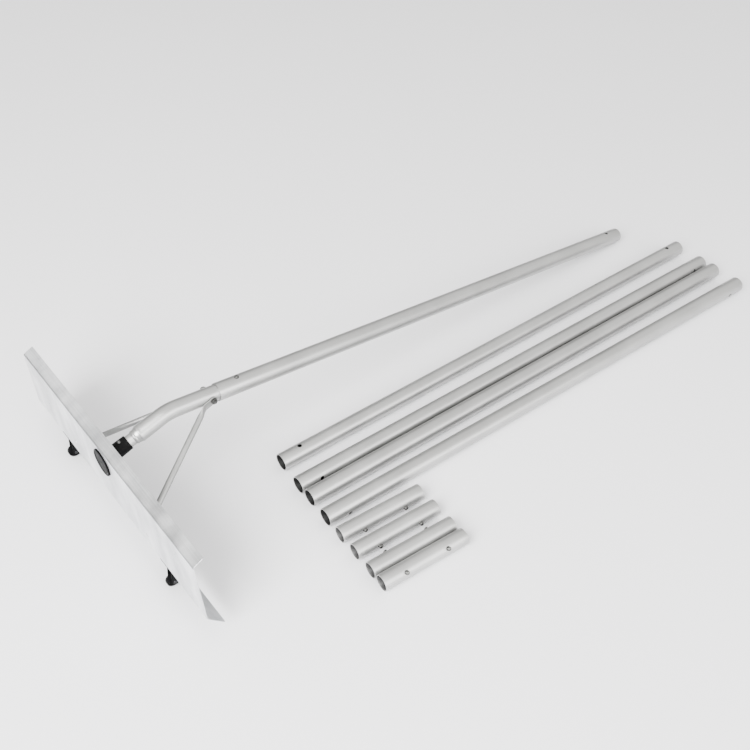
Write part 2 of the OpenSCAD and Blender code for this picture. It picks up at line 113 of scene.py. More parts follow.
# Rollers and brackets; AXLE_X is behind the blade's front, PLATE_FROM and PLATE_TO down the lip
ROLLER_Y = 194.5
ROLLER_R = 13.5
ROLLER_HALF = 5
ROLLER_GAP = 0.6
AXLE_X = 5.5
AXLE_R = 2.5
CHEEK_T = 2.4
CHEEK_R = 6.5
PLATE_T = 3
PLATE_W = 58
PLATE_FROM = 5
PLATE_TO = 36
PLATE_CORNER_R = 6

# Fasteners; SEAT is the gap under most heads and nuts, a screw's head a (height, radius) profile
SEAT = 0.02
NUT_W = 10
NUT_T = 4
BRACE_BOLT_R = 3
FOOT_BOLT_R = 2.5
FOOT_HEAD_R = 4.6
FOOT_NUT_W = 8
SCREW_R = 1.75
HUB_SCREW_RING = 21.5
HUB_SCREW_HEAD = [(0, 3.1), (0.9, 3.0), (1.5, 2.5), (1.8, 1.6), (1.8, 0.9), (1.0, 0)]
NECK_SCREW = 43
NECK_SCREW_SEAT = 14.65
NECK_SCREW_HEAD = [(0, 3.4), (0.8, 3.25), (1.4, 2.7), (1.7, 1.8), (1.7, 1.0), (0.9, 0)]
RIVET_R = 2
RIVET_Y = 22
RIVET_ALONG = 14

# Near end x and y, heading, and the way the holes face, from straight up towards +Y
POLES = {
    "pole_2": (302, -96, -2.0, 4),
    "pole_3": (294, -164, -2.4, -74),
    "pole_4": (293, -202.5, -2.4, 150),
    "pole_5": (288, -258, -3.1, -102),
}
COUPLERS = {
    "coupler_1": (285, -305, -5.2, -88),
    "coupler_2": (283, -351, -5.1, -84),
    "coupler_3": (280, -399, -5.3, 95),
    "coupler_4": (278.5, -431.5, -5.5, -50),
}

BEND_Z = HUB_Z + BEND_X * math.tan(math.radians(SOCKET_PITCH))
REACH = SEAM + POLE_LEN
PITCH = math.degrees(math.asin(BEND_Z / math.hypot(REACH, POLE_R)) - math.atan(POLE_R / REACH))
BEND = SOCKET_PITCH + PITCH
BEND_TANGENT = BEND_R * math.tan(math.radians(BEND / 2))
BEND_START = BEND_X / math.cos(math.radians(SOCKET_PITCH)) - BEND_TANGENT
LIP_ANGLE = math.degrees(math.atan2(BOTTOM_FOLD[1] - LIP_END[1], LIP_END[0]))
COLLAR_TOP = math.sqrt(INNER_BORE_R ** 2 - COLLAR_R ** 2) - COLLAR_GAP
LEG_TOP = COLLAR_TOP - COLLAR_T
POLE = (POLE_LEN, POLE_R, POLE_BORE_R, POLE_HOLE_R)
COUPLER = (COUPLER_LEN, INNER_R, INNER_BORE_R, TUBE_HOLE_R)


# ---- Frames, each a matrix in metres from a piece's own axes to the scene ----

def turn(axis, degrees):
    return Matrix.Rotation(math.radians(degrees), 4, axis)


def shift(x, y=0, z=0):
    return Matrix.Translation((x * MM, y * MM, z * MM))


def blade_frame():
    """The CAD's own frame: X = 0 at the blade's front, Y = 0 at its middle."""
    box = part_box("blade")
    return Matrix.Translation((box[0].x, (box[0].y + box[1].y) / 2, 0))


KIT = blade_frame()
ON_SOCKET = KIT @ shift(0, 0, HUB_Z) @ turn("Y", -SOCKET_PITCH)
ON_POLE = KIT @ shift(BEND_X, 0, BEND_Z) @ turn("Y", PITCH)


def on_lip(side):
    """At a roller, on the lip's outer face: X runs down the lip, Z points into the sheet."""
    return KIT @ shift(0, side * ROLLER_Y, BOTTOM_FOLD[1]) @ turn("Y", LIP_ANGLE)


def on_floor(spot, r):
    """At the near end of a tube of radius r that lies on the floor, X along it."""
    x, y, heading = spot[:3]
    return KIT @ shift(x, y, r) @ turn("Z", heading)


# ---- Materials ----

def new_material(name, metallic, base, rough):
    mat = bpy.data.materials.new(name)
    mat.use_nodes = True
    shader = mat.node_tree.nodes["Principled BSDF"]
    shader.inputs["Metallic"].default_value = metallic
    shader.inputs["Base Color"].default_value = (*base, 1)
    shader.inputs["Roughness"].default_value = rough
    shader.inputs["Specular IOR Level"].default_value = 0.5 if metallic else 0.1
    if not metallic:
        shader.inputs["IOR"].default_value = 1.3
    return mat, shader


def noise(mat, scale, detail, stretch=(1, 1, 1), rough=0.55, pitch=0.0):
    """A noise in the piece's own axes, turned down by pitch, long where the stretch is small."""
    nodes, links = mat.node_tree.nodes, mat.node_tree.links
    coords = nodes.new("ShaderNodeTexCoord")
    mapping = nodes.new("ShaderNodeMapping")
    mapping.vector_type = "TEXTURE"
    mapping.inputs["Rotation"].default_value = (0, math.radians(pitch), 0)
    mapping.inputs["Scale"].default_value = [1 / f for f in stretch]
    tex = nodes.new("ShaderNodeTexNoise")
    tex.inputs["Scale"].default_value = scale
    tex.inputs["Detail"].default_value = detail
    tex.inputs["Roughness"].default_value = rough
    links.new(coords.outputs["Object"], mapping.inputs["Vector"])
    links.new(mapping.outputs["Vector"], tex.inputs["Vector"])
    return tex.outputs["Fac"]


def spread(mat, value, low, high, from_low=0.3, from_high=0.7):
    """value mapped from from_low..from_high to low..high."""
    node = mat.node_tree.nodes.new("ShaderNodeMapRange")
    mat.node_tree.links.new(value, node.inputs["Value"])
    node.inputs["From Min"].default_value = from_low
    node.inputs["From Max"].default_value = from_high
    node.inputs["To Min"].default_value = low
    node.inputs["To Max"].default_value = high
    return node.outputs["Result"]


def blend_colours(mat, value, dark, light):
    node = mat.node_tree.nodes.new("ShaderNodeMix")
    node.data_type = "RGBA"
    mat.node_tree.links.new(value, node.inputs["Factor"])
    node.inputs["A"].default_value = (*dark, 1)
    node.inputs["B"].default_value = (*light, 1)
    return node.outputs["Result"]


def combine(mat, a, b, how="ADD"):
    """Two values, or a value and a number, in a Math node."""
    node = mat.node_tree.nodes.new("ShaderNodeMath")
    node.operation = how
    mat.node_tree.links.new(a, node.inputs[0])
    if isinstance(b, (int, float)):
        node.inputs[1].default_value = b
    else:
        mat.node_tree.links.new(b, node.inputs[1])
    return node.outputs["Value"]


def shared(mat, a, share, b):
    """share of value a with the rest of value b."""
    return combine(mat, combine(mat, a, share, "MULTIPLY"), combine(mat, b, 1 - share, "MULTIPLY"))


def bump(mat, shader, height, distance, strength):
    node = mat.node_tree.nodes.new("ShaderNodeBump")
    node.inputs["Distance"].default_value = distance
    node.inputs["Strength"].default_value = strength
    mat.node_tree.links.new(height, node.inputs["Height"])
    mat.node_tree.links.new(node.outputs["Normal"], shader.inputs["Normal"])


def drawn_tube(name, dark, light, rough_low, rough_high, pitch=0.0):
    """Drawn aluminium: fine grain along X, cloudy handling marks, a few long draw lines."""
    mat, shader = new_material(name, 1.0, light, rough_low)
    grain = noise(mat, 1.0, 5, (9, 900, 900), pitch=pitch)
    lines = noise(mat, 1.0, 2, (2.5, 260, 260), pitch=pitch)
    clouds = noise(mat, 14, 4)
    links = mat.node_tree.links
    tone = shared(mat, grain, 0.35, clouds)
    links.new(blend_colours(mat, spread(mat, tone, 0, 1), dark, light), shader.inputs["Base Color"])
    gloss = spread(mat, shared(mat, lines, 0.6, clouds), rough_low, rough_high)
    links.new(gloss, shader.inputs["Roughness"])
    bump(mat, shader, grain, 0.00002, 0.35)
    return mat


def height_up(mat):
    """The height above the floor, in metres, on a piece whose own frame stands on it unturned."""
    nodes = mat.node_tree.nodes
    coords, split = nodes.new("ShaderNodeTexCoord"), nodes.new("ShaderNodeSeparateXYZ")
    mat.node_tree.links.new(coords.outputs["Object"], split.inputs["Vector"])
    return split.outputs["Z"]


def rolled_sheet():
    """Mill-finish sheet: rolling grain along Y, hazy patches from handling and light scuffs,
    a lip darkened as painted shade, and a thin dark line of painted shade along the top fold."""
    mat, shader = new_material("blade_sheet", 1.0, (0.8, 0.81, 0.82), 0.42)
    grain = noise(mat, 1.0, 5, (700, 5, 700))
    patches = noise(mat, 1.0, 3, (14, 22, 9))
    scuffs = noise(mat, 1.0, 6, (160, 30, 60), 0.7)
    shade_line_half, shade_line_edge = 0.0007, 0.0016
    lip_top, face_foot = 0.05, 0.056
    links = mat.node_tree.links
    tone = shared(mat, grain, 0.3, patches)
    # Painted shade: a thin dark line along the top fold, standing in for the dim horizon that the
    # bend reflects
    from_shade_line = combine(mat, combine(mat, height_up(mat), -FOLD_SHADE_Z * MM), 0, "ABSOLUTE")
    tone = combine(mat, tone, spread(mat, from_shade_line, 0, 1, shade_line_half, shade_line_edge), "MULTIPLY")
    # Painted shade: the lip, below the face's foot, is darkened to stand in for the shaded floor it
    # reflects
    tone = combine(mat, tone, spread(mat, height_up(mat), 0.55, 1, lip_top, face_foot), "MULTIPLY")
    links.new(blend_colours(mat, spread(mat, tone, 0, 1, 0.2, 0.65), (0.36, 0.37, 0.38),
                            (0.9, 0.905, 0.915)), shader.inputs["Base Color"])
    links.new(spread(mat, combine(mat, scuffs, patches), 0.26, 0.44, 0.7, 1.3),
              shader.inputs["Roughness"])
    bump(mat, shader, combine(mat, grain, scuffs), 0.00003, 0.35)
    return mat


def moulded_black(name, base, rough, grain_size):
    """Moulded plastic: fine sparked texture, slightly lighter where it has been rubbed."""
    mat, shader = new_material(name, 0.0, base, rough)
    fine = noise(mat, 1 / grain_size, 3)
    rubs = noise(mat, 120, 6, rough=0.7)
    links = mat.node_tree.links
    worn = tuple(min(1, 2.2 * c) for c in base)
    links.new(blend_colours(mat, spread(mat, rubs, 0, 1, 0.5, 0.8), base, worn),
              shader.inputs["Base Color"])
    links.new(spread(mat, rubs, rough + 0.06, rough - 0.1), shader.inputs["Roughness"])
    bump(mat, shader, fine, 0.00006, 0.5)
    return mat


def small_metal(name, base, rough):
    """Plated or plain fasteners: soft cloudy spangle and fine turning marks."""
    mat, shader = new_material(name, 1.0, base, rough)
    clouds = noise(mat, 260, 4)
    marks = noise(mat, 1.0, 4, (2600, 300, 300))
    links = mat.node_tree.links
    dark = tuple(0.82 * c for c in base)
    links.new(blend_colours(mat, spread(mat, clouds, 0, 1), dark, base), shader.inputs["Base Color"])
    links.new(spread(mat, clouds, rough - 0.06, rough + 0.1), shader.inputs["Roughness"])
    bump(mat, shader, marks, 0.00001, 0.4)
    return mat


TUBE_TONES = (0.44, 0.44, 0.435), (0.54, 0.54, 0.535)
COUPLER_TONES = (0.47, 0.47, 0.465), (0.57, 0.57, 0.565)
BRACE_TONES = (0.36, 0.36, 0.355), (0.45, 0.45, 0.445)
# Bore tones: painted shade, darker than the outsides to stand in for the shade inside the tubes
POLE_BORE_SHADE_TONES = (0.03, 0.03, 0.03), (0.06, 0.06, 0.06)
COUPLER_BORE_SHADE_TONES = (0.2, 0.2, 0.2), (0.3, 0.3, 0.3)

MATERIALS = {
    "blade_sheet": rolled_sheet(),
    "pole_alloy": drawn_tube("pole_alloy", *TUBE_TONES, 0.36, 0.46),
    "neck_alloy": drawn_tube("neck_alloy", *TUBE_TONES, 0.34, 0.44, PITCH),
    "coupler_alloy": drawn_tube("coupler_alloy", *COUPLER_TONES, 0.42, 0.52),
    "brace_alloy": drawn_tube("brace_alloy", *BRACE_TONES, 0.42, 0.52),
    "pole_bore_shade": drawn_tube("pole_bore_shade", *POLE_BORE_SHADE_TONES, 0.5, 0.6),
    "coupler_bore_shade": drawn_tube("coupler_bore_shade", *COUPLER_BORE_SHADE_TONES, 0.4, 0.5),
    "black_plastic": moulded_black("black_plastic", (0.004, 0.004, 0.0042), 0.5, 0.0005),
    "roller_plastic": moulded_black("roller_plastic", (0.003, 0.003, 0.0032), 0.55, 0.0006),
    # Plated steel whose base colour is made dark as painted shade, for the gaps round the buttons and
    # the bolts' shadowed ends
    "zinc_steel": small_metal("zinc_steel", (0.16, 0.16, 0.155), 0.2),
    "black_zinc": small_metal("black_zinc", (0.05, 0.05, 0.052), 0.35),
    "rivet_alloy": small_metal("rivet_alloy", (0.74, 0.75, 0.75), 0.34),
}


# ---- Mesh tools: sizes in mm, meshes in metres ----

def piece(name, bm, where, finish, body, nodes=(), sharp=32, bevel=0.0):
    """A mesh in its own axes, placed, finished, riding on a body, in place of the CAD nodes."""
    bmesh.ops.scale(bm, vec=(MM, MM, MM), verts=bm.verts)
    bmesh.ops.recalc_face_normals(bm, faces=bm.faces)
    mesh = bpy.data.meshes.new(name)
    bm.to_mesh(mesh)
    bm.free()
    mesh.shade_smooth()
    if not bevel:
        mesh.set_sharp_from_angle(angle=math.radians(sharp))
    obj = bpy.data.objects.new(name, mesh)
    bpy.context.scene.collection.objects.link(obj)
    obj.matrix_world = where
    finishes = finish if isinstance(finish, (list, tuple)) else [finish]
    for one in finishes:
        mesh.materials.append(MATERIALS[one])
    if bevel:
        edge = obj.modifiers.new("edges", "BEVEL")
        edge.width = bevel * MM
        edge.segments = 3
        edge.limit_method = "ANGLE"
        edge.angle_limit = math.radians(sharp)
        obj.modifiers.new("shading", "WEIGHTED_NORMAL")
    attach(obj, body)
    if nodes:
        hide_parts(*nodes)


def rounded(points, radius, steps=3, closed=True):
    """The outline with each corner rounded to at most radius."""
    out = []
    n = len(points)
    for i, p in enumerate(points):
        p = Vector(p)
        if not closed and i in (0, n - 1):
            out.append(p)
            continue
        before, after = Vector(points[i - 1]) - p, Vector(points[(i + 1) % n]) - p
        half = before.angle(after) / 2
        reach = min(radius / math.tan(half), before.length * 0.45, after.length * 0.45)
        a, b = p + before.normalized() * reach, p + after.normalized() * reach
        for k in range(steps + 1):
            t = k / steps
            out.append(a * (1 - t) ** 2 + p * 2 * t * (1 - t) + b * t ** 2)
    return out


def lathe(profile, segments=64, closed=True):
    """Revolves (x, r) points about X. A closed profile makes a ring, an open one ends on the axis."""
    bm = bmesh.new()
    rings = []
    for x, r in profile:
        if r < 1e-6:
            rings.append([bm.verts.new((x, 0, 0))])
            continue
        rings.append([bm.verts.new((x, r * math.cos(a), r * math.sin(a)))
                      for a in (2 * math.pi * k / segments for k in range(segments))])
    pairs = list(zip(rings, rings[1:])) + ([(rings[-1], rings[0])] if closed else [])
    for a, b in pairs:
        for k in range(segments):
            j = (k + 1) % segments
            corners = [a[k % len(a)], a[j % len(a)], b[j % len(b)], b[k % len(b)]]
            unique = list(dict.fromkeys(corners))
            if len(unique) > 2:
                bm.faces.new(unique)
    return bm


def dome(x, height, r, steps, fullness=0.6):
    """Profile of a domed head from its rim at x towards its tip, which is left out."""
    angles = (math.pi / 2 * k / steps for k in range(steps))
    return [(x + height * math.sin(a), r * math.cos(a) ** fullness) for a in angles]


def prism(outline, depth):
    """Extrudes an (x, z) outline along Y, half to each side."""
    bm = bmesh.new()
    low = -depth / 2
    near = [bm.verts.new((x, low, z)) for x, z in outline]
    far = [bm.verts.new((x, low + depth, z)) for x, z in outline]
    bm.faces.new(near)
    bm.faces.new(list(reversed(far)))
    for i in range(len(outline)):
        j = (i + 1) % len(outline)
        bm.faces.new((near[i], far[i], far[j], near[j]))
    return bm


def moved(bm, matrix):
    bmesh.ops.transform(bm, matrix=matrix, verts=bm.verts)
    return bm


def joined(*parts):
    """One bmesh from several."""
    mesh = bpy.data.meshes.new("joined")
    out = bmesh.new()
    for bm in parts:
        bm.to_mesh(mesh)
        out.from_mesh(mesh)
        bm.free()
    bpy.data.meshes.remove(mesh)
    return out


def mm_shift(x, y=0, z=0):
    return Matrix.Translation((x, y, z))


def in_kit(in_scene):
    """A frame in the scene as a matrix in mm in the blade's own frame."""
    out = KIT.inverted() @ in_scene
    out.translation /= MM
    return out


def bored(bm, *holes):
    """bm with round holes cut: each hole is (matrix, radius, half length) of a bar along local Z."""
    def made(name, part):
        mesh = bpy.data.meshes.new(name)
        bmesh.ops.recalc_face_normals(part, faces=part.faces)
        part.to_mesh(mesh)
        part.free()
        obj = bpy.data.objects.new(name, mesh)
        bpy.context.scene.collection.objects.link(obj)
        return obj

    body = made("bored", bm)
    cutters = []
    for matrix, radius, half in holes:
        bar = bmesh.new()
        bmesh.ops.create_cone(bar, cap_ends=True, segments=40, radius1=radius, radius2=radius,
                              depth=2 * half, matrix=matrix)
        cutter = made("bar", bar)
        cut = body.modifiers.new("hole", "BOOLEAN")
        cut.object, cut.solver = cutter, "EXACT"
        cutters.append(cutter)
    shown = body.evaluated_get(bpy.context.evaluated_depsgraph_get())
    out = bmesh.new()
    out.from_mesh(shown.to_mesh())
    shown.to_mesh_clear()
    for obj in [body, *cutters]:
        mesh = obj.data
        bpy.data.objects.remove(obj)
        bpy.data.meshes.remove(mesh)
    return out


# ---- Blade ----

def fold(corner, a, b, radius):
    """Centre, first angle and sweep of the arc that rounds the corner between a and b."""
    p = Vector(corner)
    to_a, to_b = (Vector(a) - p).normalized(), (Vector(b) - p).normalized()
    half = to_a.angle(to_b) / 2
    centre = p + (to_a + to_b).normalized() * radius / math.sin(half)
    start, end = p + to_a * radius / math.tan(half), p + to_b * radius / math.tan(half)
    first = math.atan2(*(start - centre).yx)
    sweep = math.atan2(*(end - centre).yx) - first
    sweep = (sweep + math.pi) % (2 * math.pi) - math.pi
    return centre, first, sweep


def blade_line(offset):
    """The blade's section as a line, offset from its outer face towards the back."""
    steps, run = 10, 6
    corners = [FLANGE_END, TOP_FOLD, BOTTOM_FOLD, LIP_END]
    line = []
    for i in (1, 2):
        centre, first, sweep = fold(corners[i], corners[i - 1], corners[i + 1], FOLD_R)
        radius = FOLD_R - offset
        line.append([centre + radius * Vector((math.cos(first + sweep * k / steps),
                                               math.sin(first + sweep * k / steps)))
                     for k in range(steps + 1)])

    def back(a, b):
        d = (Vector(b) - Vector(a)).normalized()
        return offset * Vector((-d.y, d.x))

    start = Vector(FLANGE_END) + back(FLANGE_END, TOP_FOLD)
    end = Vector(LIP_END) + back(BOTTOM_FOLD, LIP_END)
    stops = [start, *line[0], *line[1], end]
    out = [stops[0]]
    for a, b in zip(stops, stops[1:]):
        parts = run if (b - a).length > 15 else 1
        out += [a + (b - a) * k / parts for k in range(1, parts + 1)]
    return out


def half_length(z):
    """Half the blade's length at a height: it flares from the top fold to the bottom fold."""
    t = min(1, max(0, (TOP_FOLD[1] - z) / (TOP_FOLD[1] - BOTTOM_FOLD[1])))
    return BLADE_HALF_TOP + t * (BLADE_HALF_BOTTOM - BLADE_HALF_TOP)


def make_blade():
    """The folded sheet, with the faint bow that a rolled sheet keeps between its folds."""
    outer, inner = blade_line(0), blade_line(SHEET)
    rows, end_rows = 72, 6
    most, mid_z, reach = 0.35, 120, 66
    bm = bmesh.new()

    def point(p, row):
        y = half_length(p.y) * (2 * row / rows - 1)
        middle = max(0, 1 - ((p.y - mid_z) / reach) ** 2)
        ripple = math.sin(y / 61) * math.cos(y / 143 + 1)
        bow = most * middle * ripple * min(1, (rows / 2 - abs(row - rows / 2)) / end_rows)
        return bm.verts.new((p.x + max(bow, 0), y, p.y))

    grid = [[point(p, row) for p in [*outer, *reversed(inner)]] for row in range(rows + 1)]
    n = len(grid[0])
    for a, b in zip(grid, grid[1:]):
        for k in range(n):
            bm.faces.new((a[k], b[k], b[(k + 1) % n], a[(k + 1) % n]))
    for row in (grid[0], grid[-1]):
        for k in range(n // 2 - 1):
            bm.faces.new((row[k], row[k + 1], row[n - 2 - k], row[n - 1 - k]))
    piece("blade_sheet", bm, KIT, "blade_sheet", "rake", ["blade"], sharp=40, bevel=0.35)


# ---- Tubes ----

def tube(length, outer, bore, hole_r):
    """A tube along X with a small turned edge at its ends, and a button's hole near each end."""
    profile = rounded([(0, bore), (0, outer), (length, outer), (length, bore)], 0.35, 2)
    rings = []
    for a, b in zip(profile, [*profile[1:], profile[0]]):
        parts = 12 if abs(b[0] - a[0]) > 50 else 1
        rings += [Vector(a).lerp(Vector(b), k / parts) for k in range(parts)]
    holes = [(mm_shift(x, 0, outer), hole_r, outer * 0.7)
             for x in (BUTTON_INSET, length - BUTTON_INSET)]
    return bored(lathe(rings, 96), *holes)


def make_tube(name, where, body, sizes, finishes, facing):
    """A pole or coupler whose holes face some way, its bore in the second finish, which is darkened
    as painted shade.
    """
    bm = tube(*sizes)
    bore = sizes[2]
    # The bore's faces take the second finish, darkened as painted shade inside the tube
    for face in bm.faces:
        if all(math.hypot(v.co.y, v.co.z) < bore + 0.05 for v in face.verts):
            face.material_index = 1
    moved(bm, turn("X", -facing))
    piece(f"{name}_tube", bm, where, finishes, body, [name])


def make_pole(name, where, body, facing=0):
    make_tube(name, where, body, POLE, ["pole_alloy", "pole_bore_shade"], facing)


def make_coupler(name, where, facing):
    make_tube(name, where, name, COUPLER, ["coupler_alloy", "coupler_bore_shade"], facing)


def button_mesh():
    """Domed button with its collar and the clip's free leg, pointing up at x = 0."""
    top = INNER_R + BUTTON_TRAVEL
    rim = top - BUTTON_DOME
    profile = [(LEG_TOP, 0), (LEG_TOP, COLLAR_R), (COLLAR_TOP, COLLAR_R), (COLLAR_TOP, BUTTON_R),
               (rim, BUTTON_R)]
    profile = rounded(profile, 0.3, 2, closed=False)
    crown = dome(rim, BUTTON_DOME, BUTTON_R, 8, 0.7)[1:]
    stem = lathe([*profile, *crown, (top, 0)], 40, closed=False)
    low, far, near = LEG_TOP - STRIP_T, -LEG_LEN, STRIP_W / 2
    leg = rounded([(far, low), (far, LEG_TOP), (near, LEG_TOP), (near, low)], 0.2, 2)
    return joined(moved(stem, turn("Y", -90)), prism(leg, STRIP_W))


def clip_mesh():
    """The clip's loop and the leg that presses on the far wall."""
    low = -math.sqrt(INNER_BORE_R ** 2 - (STRIP_W / 2) ** 2) + 0.03
    outer_r = (LEG_TOP - low) / 2
    inner_r = outer_r - STRIP_T
    x, z = -LEG_LEN - LOOP_GAP, low + outer_r
    arc = [math.radians(90 + 180 * k / 24) for k in range(25)]
    outside = [(x + outer_r * math.cos(a), z + outer_r * math.sin(a)) for a in arc]
    inside = [(x + inner_r * math.cos(a), z + inner_r * math.sin(a)) for a in reversed(arc)]
    tip = x + LEG_LEN + 16
    return prism([*outside, (tip, low), (tip, low + STRIP_T), *inside], STRIP_W)


def make_button(name, where, body, facing=0):
    bm = moved(button_mesh(), turn("X", -facing))
    piece(f"{name}_stem", bm, where, "zinc_steel", body, [name])


def make_clip(name, where, body, nodes=(), facing=0):
    bm = moved(clip_mesh(), turn("X", -facing))
    piece(name, bm, where, "zinc_steel", body, nodes, sharp=50)


# ---- Neck ----

def neck_stations():
    """Frames and outer radii along the neck, from its end in the socket to its end in the pole."""
    swage = [(16, SWAGE_R), (66, SWAGE_R), (67.2, SWAGE_R + 1.2), (69.5, SWAGE_R + 2.2),
             (71.8, SWAGE_R + 1.7), (74, 14.1), (77, INNER_R - 1), (79.3, INNER_R + 0.3),
             (81, INNER_R + 0.3), (83, INNER_R)]
    bend_steps, run_steps = 16, 8
    stations = []
    for (x, r), (x2, r2) in zip(swage, swage[1:]):
        for k in range(3):
            stations.append((ON_SOCKET @ shift(x + (x2 - x) * k / 3), r + (r2 - r) * k / 3))
    stations += [(ON_SOCKET @ shift(x), INNER_R) for x in (83, 84.5)]
    pivot = ON_SOCKET @ shift(BEND_START, 0, -BEND_R)
    for k in range(bend_steps + 1):
        bent = pivot @ turn("Y", BEND * k / bend_steps) @ shift(0, 0, BEND_R)
        stations.append((bent, INNER_R))
    run = SEAM + 2 * BUTTON_INSET - BEND_TANGENT
    for k in range(1, run_steps + 1):
        stations.append((ON_POLE @ shift(BEND_TANGENT + run * k / run_steps), INNER_R))
    return stations


def make_neck():
    """Swaged spigot, rolled bead, cone, bend and straight run, swept as one skin."""
    wall, lip, segments = INNER_R - INNER_BORE_R, 0.3, 72
    stations = neck_stations()
    first, last = stations[0][0], stations[-1][0]
    path = [(first, SWAGE_R - wall + lip), (first, SWAGE_R - lip), *stations[1:-1],
            (last @ shift(-lip), INNER_R), (last, INNER_R - lip), (last, INNER_BORE_R + lip),
            *[(m, r - wall) for m, r in reversed(stations[:-1])]]
    to_kit = KIT.inverted()
    angles = [2 * math.pi * k / segments for k in range(segments)]
    bm = bmesh.new()
    rings = []
    for m, r in path:
        spots = [to_kit @ m @ Vector((0, r * MM * math.cos(a), r * MM * math.sin(a))) for a in angles]
        rings.append([bm.verts.new(spot / MM) for spot in spots])
    for a, b in zip(rings, [*rings[1:], rings[0]]):
        for k in range(segments):
            j = (k + 1) % segments
            bm.faces.new((a[k], a[j], b[j], b[k]))
    hole = in_kit(ON_POLE) @ mm_shift(SEAM + BUTTON_INSET, 0, INNER_R)
    bm = bored(bm, (hole, TUBE_HOLE_R, 10))
    piece("neck_tube_skin", bm, KIT, "neck_alloy", "rake", ["neck_tube"])


# ---- Braces ----

def eased(f):
    return f * f * (3 - 2 * f)


def brace_rings():
    """Centre, across, up, half width and roundness of each ring from the foot to the bolt."""
    half_t = TAB_T / 2
    foot_x = SHEET + FOOT_GAP + half_t
    tab_y = INNER_R + TAB_GAP + half_t
    bolt_x = BEND_X + BRACE_BOLT * math.cos(math.radians(PITCH))
    bolt_z = BEND_Z - BRACE_BOLT * math.sin(math.radians(PITCH))
    top = Vector((bolt_x - TAB_REACH[0], tab_y, bolt_z - TAB_REACH[1]))
    foot = Vector((foot_x, FOOT_Y - FOOT_BEND, FOOT_Z))
    bolt, foot_bolt = Vector((bolt_x, tab_y, bolt_z)), Vector((foot_x, FOOT_Y, FOOT_Z))
    run = (top - foot).normalized()
    run_up = run.cross(Vector((0, 0, 1)).cross(run)).normalized()
    down, down_up = Vector((0, -1, 0)), Vector((0, 0, 1))
    tab = (bolt - top).normalized()
    tab_up = Vector((-tab.z, 0, tab.x))
    r = TAB_W / 2
    ends = [math.radians(a) for a in (12, 30, 50, 70, 90)]
    rings = []

    def add_ring(centre, along, up, half_w=r, roundness=0):
        rings.append((centre, up.cross(along), up, half_w, roundness))

    for a in ends:
        add_ring(foot_bolt - r * math.cos(a) * down, down, down_up, r * math.sin(a))
    add_ring(foot - 3 * down, down, down_up)
    for t in (0.15, 0.5, 0.85):
        lean = 2.2 * (t - 0.5)
        spot = foot + (run if lean > 0 else down) * abs(lean)
        add_ring(spot, down.lerp(run, t).normalized(), down_up.lerp(run_up, t).normalized())
    add_ring(foot + 4 * run, run, run_up)
    for f in (k / 8 for k in range(9)):
        add_ring(foot + (LOWER_PRESS + PRESS_LEN * f) * run, run, run_up, r, eased(f))
    for f in (k / 8 for k in range(9)):
        add_ring(top - (UPPER_PRESS + PRESS_LEN * (1 - f)) * run, run, run_up, r, 1 - eased(f))
    for t in (0.2, 0.5, 0.8):
        lean = 2 * (t - 0.5)
        spot = top + (tab if lean > 0 else run) * lean
        add_ring(spot, run.lerp(tab, t).normalized(), run_up.lerp(tab_up, t).normalized())
    for a in reversed(ends):
        add_ring(bolt + r * math.cos(a) * tab, tab, tab_up, r * math.sin(a))
    return rings


def brace_section(half_w, roundness, n):
    """The outline of a pressed tab at roundness 0, of the round tube at 1."""
    half_t = TAB_T / 2
    out = []
    for k in range(n):
        a = 2 * math.pi * k / n
        c, s = math.cos(a), math.sin(a)
        flat = Vector((half_w * math.copysign(min(1, abs(c) ** 0.75 * 1.04), c),
                       half_t * math.copysign(min(1, abs(s) ** 0.3 * 1.02), s)))
        out.append(flat.lerp(Vector((BRACE_R * c, BRACE_R * s)), roundness))
    return out


def make_brace(side):
    """A tube pressed flat, bent and rounded at both ends, lofted from rings."""
    n = 32
    bm = bmesh.new()
    loops = []
    for centre, across, up, half_w, roundness in brace_rings():
        loops.append([bm.verts.new(centre + q.x * up + q.y * across)
                      for q in brace_section(half_w, roundness, n)])
    for a, b in zip(loops, loops[1:]):
        for k in range(n):
            j = (k + 1) % n
            bm.faces.new((a[k], a[j], b[j], b[k]))
    bm.faces.new(loops[0])
    bm.faces.new(loops[-1])
    if side < 0:
        bmesh.ops.scale(bm, vec=(1, -1, 1), verts=bm.verts)
    name = "brace_left" if side > 0 else "brace_right"
    piece(f"{name}_tube", bm, KIT, "brace_alloy", "rake", [name], sharp=50)


# ---- Fasteners ----

def nut_mesh(width, height):
    """Hexagon along X from 0, its outer corners turned off."""
    corner = width / 2 / math.cos(math.radians(30))
    bm = bmesh.new()
    bmesh.ops.create_cone(bm, cap_ends=True, segments=6, radius1=corner, radius2=corner,
                          depth=height, matrix=turn("Y", 90) @ mm_shift(0, 0, height / 2))
    bmesh.ops.bevel(bm, geom=bm.edges[:], offset=0.45, segments=2, affect="EDGES")
    return bm


def pan_screw(tip, seat, head):
    """A plain shank from its tip to its seat, and a pan head with a dished middle."""
    profile = [(tip, 0), (tip, SCREW_R), (seat, SCREW_R), *[(seat + x, r) for x, r in head]]
    return lathe(profile, 32, closed=False)


